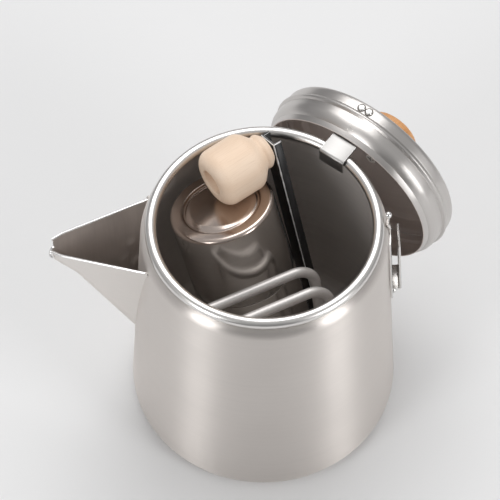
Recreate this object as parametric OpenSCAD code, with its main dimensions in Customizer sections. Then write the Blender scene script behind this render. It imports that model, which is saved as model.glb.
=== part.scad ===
// Camping coffee pot in stainless steel, open, with its lid hung on the rim and
// its detachable handle and folding hand mill stored inside.
// Millimetres. The origin is the centre of the base on the floor, +Z is up,
// the spout points along -X and the handle bracket is on the +X side.

/* [Pot] */
// Height of the rim above the floor
pot_height = 154.5; // [152:0.5:158]
// Radius of the rolled rim's centre line
rim_r = 58.4; // [58:0.1:58.6]
// Thickness of the rolled rim
rim_d = 5.8; // [5.4:0.1:5.8]
// Outer radius at the shoulder under the rim
shoulder_r = 64; // [63:0.1:64.5]
// Outer radius at the base
base_r = 72.7; // [72:0.1:73.5]
// Thickness of the sheet steel
sheet = 0.8; // [0.7:0.05:1]

/* [Spout] */
// Reach of the pouring tip from the pot's axis
spout_reach = 110; // [106:1:114]
// Width of the spout's mouth where it meets the shoulder
spout_w = 47; // [44:0.5:49]
// Width of the pouring tip
spout_tip_w = 14; // [12:0.5:15]

/* [Lid] */
// Radius of the lid's side wall
lid_r = 54.9; // [54.5:0.1:54.9]
// Depth of the lid from its open edge to its top edge
lid_depth = 23; // [22:0.5:24]
// Direction in which the hung lid faces, from +X towards +Y
lid_turn = 53; // [52:0.5:54]
// Radius of the wooden lid knob
lid_knob_r = 16; // [14:0.5:17]

/* [Handle] */
// Diameter of the handle's rod
rod_d = 5.6; // [5:0.1:5.8]
// Distance between the handle's two bars
bar_gap = 17; // [16:0.5:18]
// Length of the handle's grip
grip_length = 106; // [100:1:107]

/* [Mill] */
// Radius of the mill
mill_r = 28; // [27.6:0.1:28.2]
// Length of the mill from its foot to its cap
mill_length = 130; // [126:1:132]
// Lean of the stored mill from upright
mill_lean = 20.3; // [20:0.1:20.5]
// Largest radius of the mill's wooden knob
mill_knob_r = 15.8; // [15:0.1:15.9]

/* [Hidden] */
$fn = 96;

// clearances
running_gap = 0.05;
rest_gap = 0.3;

// pot
rim_z = pot_height - rim_d / 2;
base_corner_r = 9;
shoulder_bend_r = 7;
shoulder_z = rim_z - rim_d / 2 - shoulder_bend_r + 0.7;
wall_slope = atan((base_r - shoulder_r) / (shoulder_z - base_corner_r));
floor_r = base_r - base_corner_r;
strainer_hole_d = 5;
strainer_pitch = 9;
strainer_z = 104;

// spout
spout_back = 52;
spout_back_z = 143;
spout_tip_z = 132.5;
keel = [[60, 44], [96, 112], [spout_reach - 4.5, 123]];
keel_r = 3.6;

// bracket, a strap loop that takes the handle's tongue
bracket_turn = 2;
bracket_w = 15;
bracket_low = 97;
bracket_high = 138;
bracket_sheet = 1.2;
bracket_gap = 3.2;
bracket_foot = 9;

// lid, drawn about its own axis: z = 0 is the open edge, the top is at lid_depth
lid_open_r = 50.7;
lid_sheet = 0.7;
lid_flange_r = 56.3;
lid_flange_z = 13;
lid_hang_r = 68.2;
lid_hang_turn = 50;
lid_tilt = 3.4;
clip_w = 15;
clip_t = 1;
clip_x = lid_open_r - lid_sheet - 0.7;
clip_reach = 12.8;
lid_hang_z = pot_height + rest_gap + 0.65 - (clip_x - clip_t) * cos(lid_tilt);
clip_rivet_z = 18;
clip_rivet_gap = 4.6;
lid_top_rise = 3;
lid_knob_h = 20;

// handle, drawn with its bars along +X and its grip going down
handle_turn = 26;
handle_lean = 15;
handle_place = [-5, -27.3, 120.1];
handle_end = 38;
handle_start = -26;
rod_r = rod_d / 2;
bend_r = 12;
yoke_t = 6;
tongue_w = 12;
tongue_t = 2.4;
tongue_l = 26;

// mill, drawn about its own axis: z = 0 is the foot, the cap is at -mill_length
mill_place = [-22.6, 21.9, 137.5];
mill_turn = 133.6;
arm_turn = -98.6;
mill_sheet = 0.9;
cup_depth = 48;
spigot = 9;
shaft_r = 3;
burr_z = -62;
burr_h = 13;
burr_r = 21.5;
cap_t = 3;
arm_w = 12.3;
arm_flange = 4.5;
arm_t = 1.2;
arm_top = 20.6;
arm_splay = 2.5;
web_x = -2.3;
hub_z = -mill_length - 7;
hub_t = 3.4;
hinge_r = 31.2;
hinge_pin_r = 1.6;
knob_z = 16.3;
knob_length = 35.4;
knob_end = 34.3;
axle_r = 2.2;

// points along an arc
function arc(cx, cy, r, from, to, n = 8) =
    [for (i = [0 : n]) let (a = from + (to - from) * i / n) [cx + r * cos(a), cy + r * sin(a)]];

// outline of the pot's wall, moved in by t, from the base up to the rim
function wall_line(t) = concat(
    arc(base_r - base_corner_r, base_corner_r, base_corner_r - t, -90, wall_slope),
    arc(shoulder_r - shoulder_bend_r, shoulder_z, shoulder_bend_r - t, wall_slope, 80));

function reversed(list) = [for (i = [len(list) - 1 : -1 : 0]) list[i]];

module steel() { color([0.78, 0.77, 0.75]) children(); }
module dark_steel() { color([0.12, 0.12, 0.12]) children(); }
module maple() { color([0.92, 0.81, 0.68]) children(); }
module oak() { color([0.86, 0.62, 0.38]) children(); }
module ceramic() { color([0.93, 0.92, 0.9]) children(); }

module tube(r, hole, z0, z1) {
    translate([0, 0, z0]) difference() {
        cylinder(r = r, h = z1 - z0);
        translate([0, 0, -1]) cylinder(r = hole, h = z1 - z0 + 2);
    }
}

// the solid that the pot's outer surface encloses
module pot_envelope() {
    rotate_extrude() polygon(concat([[0, 0]], wall_line(0), [[0, rim_z]]));
}

module strainer_holes() {
    for (row = [-2 : 2])
        for (k = [0 : 2 - abs(row) % 2])
            translate([0, 0, strainer_z + row * strainer_pitch * sin(60)])
                rotate([0, 0, 180 + (k - 1 + (abs(row) % 2) / 2) * 8.2])
                    rotate([0, 90, 0]) cylinder(d = strainer_hole_d, h = base_r + 5, $fn = 32);
}

module pot_body() {
    steel() difference() {
        union() {
            rotate_extrude() polygon(concat(wall_line(0), reversed(wall_line(sheet))));
            rotate_extrude() translate([rim_r, rim_z]) circle(d = rim_d, $fn = 32);
        }
        strainer_holes();
    }
}

// stamped base: flat in the middle and at the edge, with a raised stiffening ring between
module pot_floor() {
    outer = floor_r - 8;
    inner = outer - 12;
    rise = 1.4;
    steel() rotate_extrude() polygon([
        [0, 0], [inner, 0], [inner + 2, rise], [outer - 2, rise], [outer, 0], [floor_r, 0],
        [floor_r, sheet], [outer + 0.4, sheet], [outer - 1.6, rise + sheet],
        [inner + 1.6, rise + sheet], [inner - 0.4, sheet], [0, sheet]]);
}

// half width and height of the spout's top edge at a distance from the pot's axis
function lip_half(x) = let (k = (x - spout_back) / (spout_reach - 5 - spout_back))
    spout_w / 2 + 2.5 + (spout_tip_w / 2 - spout_w / 2 - 2.5) * k;
function lip_z(x) = spout_back_z + (spout_tip_z - spout_back_z) * (x - spout_back) / (spout_reach - spout_back);

// spout filled between its keel and its top edges, shrunk by t and open above by lift
module spout_trough(t, lift) {
    stations = [spout_back, keel[1][0], spout_reach - 5];
    for (part = [0, 1]) hull() {
        for (end = [part, part + 1]) {
            translate([-keel[end][0], 0, keel[end][1]]) sphere(r = keel_r - t, $fn = 24);
            for (side = [-1, 1]) for (up = [0, lift])
                translate([-stations[end], side * (lip_half(stations[end]) - t), lip_z(stations[end]) + up])
                    cube(0.4, center = true);
        }
        if (part == 1) for (side = [-1, 1]) for (up = [0, lift])
            translate([-spout_reach + t, side * (spout_tip_w / 2 - 3 - t), spout_tip_z + up])
                cube(0.4, center = true);
    }
}

module spout() {
    steel() difference() {
        spout_trough(0, 0);
        translate([0, 0, 0.3]) spout_trough(1.1, 8);
        pot_envelope();
        rotate_extrude() translate([rim_r, rim_z]) circle(d = rim_d + 0.6, $fn = 32);
    }
}

module at_bracket() {
    rotate([0, 0, bracket_turn]) children();
}

module bracket_outline(back, front) {
    r0 = shoulder_r + (shoulder_z - bracket_high) * tan(wall_slope);
    r1 = shoulder_r + (shoulder_z - bracket_low) * tan(wall_slope);
    polygon([[r0 + back, bracket_high], [r0 + front, bracket_high],
             [r1 + front, bracket_low], [r1 + back, bracket_low]]);
}

module rivet_places() {
    z = bracket_low - bracket_foot / 2 - 0.5;
    r = shoulder_r + (shoulder_z - z) * tan(wall_slope);
    for (side = [-1, 1]) translate([r, side * 4, z]) rotate([0, 90, 0]) children();
}

// curved pad on the wall, with a narrow tab that rises to the rim
module bracket_plate() {
    tab_w = 6;
    tab_top = rim_z + 1;
    out = shoulder_r + bracket_sheet;
    steel() at_bracket() difference() {
        union() {
            intersection() {
                rotate_extrude() translate([bracket_sheet, 0])
                    polygon(concat([[0, 0]], wall_line(0), [[0, rim_z]]));
                translate([40, -bracket_w / 2, bracket_low - bracket_foot])
                    cube([40, bracket_w, shoulder_z - bracket_low + bracket_foot - 1]);
            }
            intersection() {
                translate([0, tab_w / 2, 0]) rotate([90, 0, 0]) linear_extrude(tab_w) polygon([
                    [shoulder_r, bracket_high], [out, bracket_high], [out, shoulder_z + 1],
                    [out - 1.6, shoulder_z + 6], [out - 1.6, rim_z + 5], [out - 2.8, rim_z + 5],
                    [out - 2.8, shoulder_z + 6], [shoulder_r, shoulder_z + 1]]);
                union() {
                    translate([50, 0, tab_top - tab_w / 2]) rotate([0, 90, 0]) cylinder(d = tab_w, h = 30, $fn = 48);
                    translate([50, -tab_w / 2, bracket_high]) cube([30, tab_w, tab_top - bracket_high - tab_w / 2]);
                }
            }
        }
        pot_envelope();
        rivet_places() cylinder(r = 1.2, h = 5, $fn = 32);
    }
}

// flat strap bent into a loop that is open at both sides and at the top
module bracket_strap() {
    out = bracket_sheet + bracket_gap;
    steel() at_bracket() difference() {
        translate([0, bracket_w / 2, 0]) rotate([90, 0, 0])
            linear_extrude(bracket_w) bracket_outline(0, out + bracket_sheet);
        translate([0, bracket_w / 2 + 1, 0]) rotate([90, 0, 0])
            linear_extrude(bracket_w + 2) translate([0, bracket_sheet]) bracket_outline(-1, out);
        translate([0, bracket_w / 2 + 1, 0]) rotate([90, 0, 0]) linear_extrude(bracket_w + 2)
            translate([0, -bracket_sheet]) polygon([[60, bracket_high - 20], [66, bracket_high - 20],
                [shoulder_r + bracket_sheet, bracket_high + 2], [60, bracket_high + 2]]);
        rotate_extrude() translate([bracket_sheet, 0]) polygon(concat([[0, 0]], wall_line(0), [[0, rim_z]]));
    }
}

module bracket_rivets() {
    steel() at_bracket() rivet_places() {
        translate([0, 0, 0.1]) cylinder(r = 1.2, h = bracket_sheet, $fn = 32);
        translate([0, 0, bracket_sheet + 0.05]) cylinder(r1 = 2, r2 = 1.2, h = 1, $fn = 32);
    }
}

// places the lid on its clip, hung outside the rim
module on_lid() {
    rotate([0, 0, lid_hang_turn]) translate([lid_hang_r, 0, lid_hang_z])
        rotate([0, 0, lid_turn - lid_hang_turn]) rotate([0, 90 - lid_tilt, 0]) children();
}

function lid_line(t) = concat(
    [[lid_open_r - t, 0]],
    arc(lid_r - 8, 9, 8 - t, -48, 0, 6),
    [[lid_r - t, lid_flange_z - 1]],
    [[lid_flange_r - t, lid_flange_z]],
    [[lid_flange_r - t, lid_flange_z + 1.4]],
    [[lid_r + 0.4 - t, lid_flange_z + 2.4]],
    arc(lid_r + 0.2 - 3, lid_depth - 3, 3 - t, 0, 90, 6),
    [[lid_r - 9, lid_depth - t]],
    [[lid_r - 12, lid_depth + lid_top_rise - 1 - t]],
    [[lid_knob_r, lid_depth + lid_top_rise - t]],
    [[0, lid_depth + lid_top_rise - t]]);

module lid_shell() {
    steel() on_lid() difference() {
        rotate_extrude() polygon(concat(lid_line(0), reversed(lid_line(lid_sheet))));
        cylinder(r = 2.1, h = 40, $fn = 32);
        clip_rivet_holes(1.55);
    }
}

module clip_rivet_holes(r) {
    for (side = [-1, 1])
        translate([-clip_x + 5, side * clip_rivet_gap / 2, clip_rivet_z])
            rotate([0, -90, 0]) cylinder(r = r, h = 20, $fn = 32);
}

// strip riveted inside the lid, over the rim and down inside the pot
module lid_clip() {
    band_x = lid_r + 0.4 - lid_sheet;
    steel() on_lid() difference() {
        translate([0, clip_w / 2, 0]) rotate([90, 0, 0]) linear_extrude(clip_w) polygon([
            [-clip_x, 10], [-clip_x, -clip_reach], [-clip_x + 9.5, -clip_reach],
            [-clip_x + 9.5, -clip_reach + clip_t], [-clip_x + clip_t, -clip_reach + clip_t],
            [-clip_x + clip_t, 10.5], [-band_x + clip_t + 1, 15.4], [-band_x + clip_t + 1, 20],
            [-band_x + 1, 20], [-band_x + 1, 15]]);
        clip_rivet_holes(1.55);
    }
}

module lid_clip_rivets() {
    out = lid_r + 0.4;
    steel() on_lid() for (side = [-1, 1])
        translate([0, side * clip_rivet_gap / 2, clip_rivet_z]) rotate([0, -90, 0]) {
            translate([0, 0, out - 3.4]) cylinder(r = 1.5, h = 3.4, $fn = 32);
            translate([0, 0, out - 0.1]) cylinder(r1 = 2.1, r2 = 1.5, h = 0.8, $fn = 32);
            translate([0, 0, out - 4]) cylinder(r = 2, h = 1.3, $fn = 32);
        }
}

// turned knob with a waist, a round crown and a screw hole
module lid_knob() {
    r = lid_knob_r;
    top = lid_knob_h;
    oak() on_lid() translate([0, 0, lid_depth + lid_top_rise + 0.8]) difference() {
        rotate_extrude() polygon(concat(
            [[0, 0], [r * 0.62, 0]],
            arc(r * 0.62 + 1.5, 4.2, 2.6, 235, 125, 6),
            arc(r - 3, 9.6, 3, -40, 0, 4),
            arc(r - 4, top - 4.9, 4, 0, 72, 6),
            arc(0, top - 60, 60, 79, 90, 4)));
        translate([0, 0, -1]) cylinder(r = 2.05, h = 12, $fn = 32);
    }
}

module lid_knob_washer() {
    steel() on_lid() tube(7, 2.1, lid_depth + lid_top_rise, lid_depth + lid_top_rise + 0.8);
}

module lid_knob_screw() {
    under = lid_depth + lid_top_rise - lid_sheet;
    steel() on_lid() difference() {
        union() {
            translate([0, 0, under - 2.2]) cylinder(r1 = 3, r2 = 4.2, h = 2.2);
            translate([0, 0, under - 0.1]) cylinder(r = 2, h = 11.5, $fn = 32);
        }
        for (turn = [0, 90]) rotate([0, 0, turn])
            translate([-2, -0.5, under - 3]) cube([4, 1, 1.8]);
    }
}

module on_handle() {
    translate(handle_place) rotate([0, 0, handle_turn]) rotate([-handle_lean, 0, 0]) children();
}

module rod(length) { cylinder(r = rod_r, h = length, $fn = 48); }

// quarter or half turn of rod in the XZ plane about the local origin
module rod_bend(r, from, angle) {
    rotate([90, 0, 0]) rotate([0, 0, from]) rotate_extrude(angle = angle)
        translate([r, 0]) circle(r = rod_r, $fn = 32);
}

// one rod: a bar, a bend, the grip, the turn at its foot, and back
module handle_rod() {
    grip = grip_length - bend_r - bar_gap / 2;
    steel() on_handle() {
        for (side = [-1, 1]) translate([0, side * bar_gap / 2, 0]) {
            translate([handle_start, 0, 0]) rotate([0, 90, 0]) rod(handle_end - bend_r - handle_start);
            translate([handle_end - bend_r, 0, -bend_r]) rod_bend(bend_r, 0, 90);
            translate([handle_end, 0, -bend_r - grip]) rod(grip);
        }
        translate([handle_end, 0, -bend_r - grip]) rotate([0, 0, 90]) rod_bend(bar_gap / 2, 180, 180);
    }
}

// block that holds both bars' ends
module handle_yoke() {
    steel() on_handle() difference() {
        translate([handle_start - yoke_t / 2, 0, 0]) rotate([0, 90, 0]) translate([0, 0, -yoke_t / 2])
            hull() for (side = [-1, 1])
                translate([0, side * bar_gap / 2, 0]) cylinder(r = rod_r + 1.2, h = yoke_t, $fn = 32);
        translate([handle_start - yoke_t - 1, -tongue_w / 2, -rod_r - 2]) cube([1 + tongue_t, tongue_w, 12]);
    }
}

// flat tongue that drops into the bracket's loop, with a turned tip
module handle_tongue() {
    steel() on_handle() difference() {
        translate([handle_start - yoke_t, -tongue_w / 2, -tongue_l])
            cube([tongue_t, tongue_w, tongue_l + rod_r]);
        for (side = [-1, 1])
            translate([handle_start - yoke_t - 1, side * tongue_w / 2, -tongue_l])
                rotate([45, 0, 0]) cube([tongue_t + 2, 3, 3], center = false);
        translate([handle_start - yoke_t - 1, 0, -tongue_l + 6]) rotate([0, 90, 0])
            cylinder(d = 3.2, h = tongue_t + 2, $fn = 32);
    }
}

module on_mill() {
    translate(mill_place) rotate([0, 0, mill_turn]) rotate([0, mill_lean, 0]) children();
}

// places a piece on the side of the mill where the crank is folded, +X outwards
module on_arm() {
    on_mill() rotate([0, 0, arm_turn]) children();
}

// places a piece on the crank's hinge pin, +Z along the folded arm, +X away from the mill
module on_crank() {
    on_arm() translate([hinge_r, 0, hub_z + hub_t / 2]) rotate([0, arm_splay, 0]) children();
}

// grounds cup; its foot has a flat ring, a groove and a raised disc
module mill_cup() {
    r = mill_r;
    t = mill_sheet;
    disc_r = r * 0.68;
    steel() on_mill() rotate_extrude() polygon(concat(
        [[0, 0.2], [disc_r - 0.8, 0.2], [disc_r, -1.2], [disc_r + 1.6, -1.2], [disc_r + 2.4, 0]],
        arc(r - 2, -2, 2, 90, 0, 5),
        [[r, -cup_depth], [r - t, -cup_depth]],
        arc(r - 2, -2, 2 - t, 0, 90, 5),
        [[disc_r + 2.4, -t], [disc_r + 1.6, -1.2 - t], [disc_r, -1.2 - t], [disc_r - 0.8, 0.2 - t], [0, 0.2 - t]]));
}

// hopper tube with a stepped-in spigot that the cup slides over
module mill_body() {
    r = mill_r;
    t = mill_sheet;
    inner = r - t - running_gap;
    steel() on_mill() rotate_extrude() polygon([
        [r, -cup_depth - rest_gap], [r, -mill_length], [r - t, -mill_length],
        [r - t, -cup_depth - 3], [inner - t, -cup_depth - 2], [inner - t, -cup_depth + spigot],
        [inner, -cup_depth + spigot], [inner, -cup_depth - rest_gap]]);
}

// spider across the hopper that carries the outer burr and the shaft's inner bush
module burr_holder() {
    r = mill_r - mill_sheet;
    top = burr_z - burr_h;
    dark_steel() on_mill() {
        rotate_extrude() polygon([
            [burr_r - 1, top - 2], [r, top - 2], [r, top], [burr_r + 2, top],
            [burr_r + 2, burr_z - 1], [burr_r, burr_z - 1], [burr_r, top], [burr_r - 1, top]]);
        tube(7, 5, top - 6, top);
        for (turn = [0, 120, 240]) rotate([0, 0, turn])
            translate([6, -2, top - 5]) cube([burr_r - 6.3, 4, 4.5]);
    }
}

module outer_burr() {
    ceramic() on_mill() translate([0, 0, burr_z - burr_h]) difference() {
        cylinder(r = burr_r, h = burr_h);
        translate([0, 0, -0.1]) cylinder(r1 = 19.3, r2 = 17, h = burr_h + 0.2);
        for (turn = [0 : 30 : 359]) rotate([0, 0, turn])
            translate([16, -0.8, -1]) cube([4.4, 1.6, burr_h + 2]);
    }
}

module inner_burr() {
    ceramic() on_mill() translate([0, 0, burr_z - burr_h]) difference() {
        translate([0, 0, 3]) cylinder(r1 = 9, r2 = 15.6, h = burr_h - 3);
        translate([0, 0, 2]) cylinder(r = shaft_r, h = burr_h);
        for (turn = [0 : 40 : 359]) rotate([0, 0, turn])
            translate([11, -0.9, 2]) cube([6, 1.8, burr_h]);
    }
}

// shaft from the adjuster through both bushes to the crank
module drive_shaft() {
    steel() on_mill() {
        translate([0, 0, hub_z - 1]) cylinder(r = shaft_r, h = -42 - hub_z + 1, $fn = 48);
        translate([0, 0, -42]) cylinder(r1 = 4.4, r2 = 3.8, h = 1.6, $fn = 48);
    }
}

module shaft_bush_inner() {
    top = burr_z - burr_h;
    color([0.75, 0.6, 0.3]) on_mill() tube(5, shaft_r + running_gap, top - 6, top - 0.5);
}

module shaft_bush_outer() {
    color([0.75, 0.6, 0.3]) on_mill()
        tube(5, shaft_r + running_gap, -mill_length - 0.5, -mill_length + cap_t + 3);
}

// compression spring that pushes the inner burr towards the adjuster
module burr_spring() {
    wire = 0.45;
    coil_r = 4.2;
    turns = 5;
    z0 = burr_z - burr_h - 0.5 + wire;
    z1 = burr_z - burr_h + 3 - wire;
    steps = 24;
    count = turns * steps;
    sides = 6;
    ring = [for (i = [0 : count]) let (a = 360 * i / steps, z = z0 + (z1 - z0) * i / count)
        for (k = [0 : sides - 1]) let (b = 360 * k / sides)
            [(coil_r + 0.3 * cos(b)) * cos(a), (coil_r + 0.3 * cos(b)) * sin(a), z + 0.3 * sin(b)]];
    faces = concat(
        [[for (k = [sides - 1 : -1 : 0]) k]],
        [for (i = [0 : count - 1]) for (k = [0 : sides - 1])
            [i * sides + k, i * sides + (k + 1) % sides, (i + 1) * sides + (k + 1) % sides, (i + 1) * sides + k]],
        [[for (k = [0 : sides - 1]) count * sides + k]]);
    steel() on_mill() polyhedron(points = ring, faces = faces, convexity = 10);
}

// thumb wheel on the shaft that sets the grind
module grind_adjuster() {
    z0 = burr_z + 0.4;
    dark_steel() on_mill() difference() {
        union() {
            tube(11.5, shaft_r + running_gap, z0, z0 + 5);
            tube(6.5, shaft_r + running_gap, z0 + 4, z0 + 14);
        }
        for (turn = [0 : 30 : 359]) rotate([0, 0, turn])
            translate([12.1, 0, z0 - 1]) cylinder(r = 1.5, h = 7, $fn = 24);
    }
}

// cap pressed into the hopper's end
module mill_cap() {
    r = mill_r;
    inside = r - mill_sheet;
    steel() on_mill() {
        difference() {
            union() {
                translate([0, 0, -mill_length]) cylinder(r = inside, h = 1.2);
                tube(inside, inside - 1, -mill_length, -mill_length + 8);
                translate([0, 0, -mill_length - 1.2]) cylinder(r1 = r - 0.8, r2 = r, h = 1.2);
                translate([0, 0, -mill_length]) cylinder(r = 8, h = cap_t + 3);
            }
            translate([0, 0, -mill_length - 2]) cylinder(r = 5, h = cap_t + 8);
        }
    }
}

// plate from the shaft's end to the hinge of the folding arm
module crank_hub() {
    inside = arm_w - 2 * arm_t - 0.6;
    dark_steel() on_arm() difference() {
        union() {
            translate([0, 0, hub_z]) cylinder(r = 7.5, h = hub_t);
            translate([0, -inside / 2, hub_z]) cube([hinge_r, inside, hub_t]);
            translate([hinge_r, inside / 2, hub_z + hub_t / 2]) rotate([90, 0, 0])
                cylinder(r = 3.4, h = inside, $fn = 48);
        }
        translate([0, 0, hub_z - 1]) cylinder(r = shaft_r, h = hub_t + 2, $fn = 48);
        translate([hinge_r, arm_w, hub_z + hub_t / 2]) rotate([90, 0, 0])
            cylinder(r = hinge_pin_r, h = 2 * arm_w, $fn = 32);
    }
}

module crank_nut() {
    steel() on_mill() difference() {
        translate([0, 0, hub_z - 3]) cylinder(r = 5, h = 3, $fn = 6);
        translate([0, 0, hub_z - 1]) cylinder(r = shaft_r, h = 2, $fn = 48);
    }
}

module crank_pin() {
    half = arm_w / 2 + 0.8;
    steel() on_crank() translate([0, half, 0]) rotate([90, 0, 0])
        cylinder(r = hinge_pin_r, h = 2 * half, $fn = 32);
}

// folded crank arm: a channel whose flanges point away from the mill, square at its end
module crank_arm() {
    top = (arm_top - hub_z - hub_t / 2) / cos(arm_splay);
    web_low = 8;
    dark_steel() difference() {
        on_crank() difference() {
            union() {
                translate([web_x, -arm_w / 2, web_low]) cube([arm_t, arm_w, top - web_low]);
                for (side = [-1, 1]) translate([0, side * (arm_w - arm_t) / 2, 0]) {
                    translate([web_x, -arm_t / 2, 0]) cube([arm_flange, arm_t, top]);
                    translate([0, arm_t / 2, 0]) rotate([90, 0, 0]) cylinder(r = 4.1, h = arm_t, $fn = 48);
                }
            }
            translate([0, arm_w, 0]) rotate([90, 0, 0]) cylinder(r = hinge_pin_r, h = 2 * arm_w, $fn = 32);
        }
        on_arm() translate([knob_end - 1, 0, knob_z]) rotate([0, 90, 0])
            cylinder(r = axle_r, h = arm_t + 4, $fn = 32);
    }
}

// axle riveted through the arm, with its head in the knob's recess
module knob_axle() {
    start = knob_end - knob_length;
    outside = knob_end + 2.56;
    steel() on_arm() translate([0, 0, knob_z]) rotate([0, 90, 0]) {
        translate([0, 0, start + 4]) cylinder(r = 4.2, h = 1.6, $fn = 48);
        translate([0, 0, start + 5.5]) cylinder(r = axle_r, h = outside - start - 5.5, $fn = 32);
        translate([0, 0, outside]) cylinder(r1 = 3.2, r2 = 2.4, h = 1, $fn = 48);
    }
}

module knob_washer() {
    steel() on_arm() translate([0, 0, knob_z]) rotate([0, 90, 0])
        tube(4, axle_r + running_gap, knob_end + 0.05, knob_end + 0.45);
}

// turned knob: round shoulder, straight barrel, taper to a neck, collar at the arm,
// and a round recess in its free end
module mill_knob() {
    r = mill_knob_r;
    maple() on_arm() translate([knob_end - knob_length, 0, knob_z]) rotate([0, 90, 0]) difference() {
        rotate_extrude() polygon(concat(
            [[0, 0]],
            arc(r - 6.5, 6.5, 6.5, -80, 0, 8),
            arc(r - 6, knob_length - 14.2, 6, 0, 48, 5),
            [[9.3, knob_length - 6.2], [8.8, knob_length - 5.4]],
            arc(9.6 - 2, knob_length - 3.1, 2, -60, 40, 6),
            [[7.2, knob_length], [0, knob_length]]));
        translate([0, 0, -1]) cylinder(r = 7, h = 6.7, $fn = 48);
        cylinder(r = axle_r + running_gap, h = knob_length + 1, $fn = 32);
    }
}

pot_body();
pot_floor();
spout();
bracket_plate();
bracket_strap();
bracket_rivets();
lid_shell();
lid_clip();
lid_clip_rivets();
lid_knob();
lid_knob_washer();
lid_knob_screw();
handle_rod();
handle_yoke();
handle_tongue();
mill_cup();
mill_body();
burr_holder();
outer_burr();
inner_burr();
drive_shaft();
shaft_bush_inner();
shaft_bush_outer();
burr_spring();
grind_adjuster();
mill_cap();
crank_hub();
crank_nut();
crank_pin();
crank_arm();
knob_axle();
knob_washer();
mill_knob();
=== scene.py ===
import bpy
import bmesh
import math
import numpy as np
from mathutils import Matrix, Vector


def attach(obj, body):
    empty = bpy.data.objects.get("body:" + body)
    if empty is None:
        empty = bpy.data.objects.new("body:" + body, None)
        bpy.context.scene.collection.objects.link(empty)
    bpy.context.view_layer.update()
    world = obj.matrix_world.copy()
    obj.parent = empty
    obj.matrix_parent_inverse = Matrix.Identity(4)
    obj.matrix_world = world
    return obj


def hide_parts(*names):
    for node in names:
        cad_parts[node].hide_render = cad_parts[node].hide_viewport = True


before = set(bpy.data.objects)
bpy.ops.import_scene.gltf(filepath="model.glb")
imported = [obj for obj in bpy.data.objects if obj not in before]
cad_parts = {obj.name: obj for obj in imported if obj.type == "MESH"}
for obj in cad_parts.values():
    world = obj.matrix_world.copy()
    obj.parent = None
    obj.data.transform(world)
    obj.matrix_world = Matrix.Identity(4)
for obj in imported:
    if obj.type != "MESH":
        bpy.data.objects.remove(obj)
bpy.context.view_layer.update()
MM = 0.001
SIN, COS, TAN, PI = math.sin, math.cos, math.tan, math.pi


# ---------------------------------------------------------------- frames, in mm
def T(x, y, z):
    return Matrix.Translation((x, y, z))


def R(axis, deg):
    return Matrix.Rotation(math.radians(deg), 4, axis)


POT_H = 154.5
LID_R, LID_DEPTH, LID_TILT = 54.9, 23.0, 3.4
CLIP_X, CLIP_T, CLIP_W, CLIP_REACH = 49.3, 1.0, 15.0, 12.8
CLIP_OVER_RIM = 0.3 + 0.65
LID_Z = POT_H + CLIP_OVER_RIM - (CLIP_X - CLIP_T) * COS(math.radians(LID_TILT))
ON_POT = Matrix.Identity(4)
ON_LID = R("Z", 50) @ T(68.2, 0, LID_Z) @ R("Z", 3) @ R("Y", 90 - LID_TILT)
ON_HANDLE = T(-5, -27.3, 120.1) @ R("Z", 26) @ R("X", -15)
ON_MILL = T(-22.6, 21.9, 137.5) @ R("Z", 133.6) @ R("Y", 20.3)
ON_ARM = ON_MILL @ R("Z", -98.6)
MILL_R, MILL_L, CUP_L = 28.0, 130.0, 48.0
HUB_Z, HUB_T, HINGE_R, ARM_SPLAY, KNOB_Z = -137.0, 3.4, 31.2, 2.5, 16.3
ON_CRANK = ON_ARM @ T(HINGE_R, 0, HUB_Z + HUB_T / 2) @ R("Y", ARM_SPLAY)
ON_BRACKET = R("Z", 2)


# ---------------------------------------------------------------- node helpers
def new_mat(name):
    m = bpy.data.materials.new(name)
    m.use_nodes = True
    nt = m.node_tree
    return m, nt, nt.nodes["Principled BSDF"]


def node(nt, kind, ins=None, **props):
    n = nt.nodes.new(kind)
    for k, v in props.items():
        setattr(n, k, v)
    for k, v in (ins or {}).items():
        s = n.inputs[k]
        if isinstance(v, bpy.types.NodeSocket):
            nt.links.new(v, s)
        else:
            s.default_value = v
    return n


def math_node(nt, op, a, b=0.0):
    return node(nt, "ShaderNodeMath", {0: a, 1: b}, operation=op).outputs[0]


def span(nt, v, lo, hi, a, b):
    return node(nt, "ShaderNodeMapRange", {0: v, 1: lo, 2: hi, 3: a, 4: b}).outputs[0]


def mix(nt, f, a, b, mode="MIX"):
    return node(nt, "ShaderNodeMix", {0: f, 6: a, 7: b}, data_type="RGBA", blend_type=mode).outputs[2]


def ramp(nt, f, stops):
    n = node(nt, "ShaderNodeValToRGB", {0: f})
    e = n.color_ramp.elements
    while len(e) < len(stops):
        e.new(0.5)
    for el, (p, c) in zip(e, stops):
        el.position = p
        el.color = c
    return n.outputs[0]


def noise(nt, vec, scale, detail=2.0, rough=0.5, w=None):
    ins = {"Vector": vec, "Scale": scale, "Detail": detail, "Roughness": rough}
    if w is not None:
        ins["W"] = w
    dimensions = "3D" if w is None else "4D"
    return node(nt, "ShaderNodeTexNoise", ins, noise_dimensions=dimensions).outputs[0]


def local(nt, how="Object"):
    return node(nt, "ShaderNodeTexCoord").outputs[how]


def scaled(nt, vec, s):
    return node(nt, "ShaderNodeVectorMath", {0: vec, 1: s}, operation="MULTIPLY").outputs[0]


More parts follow.
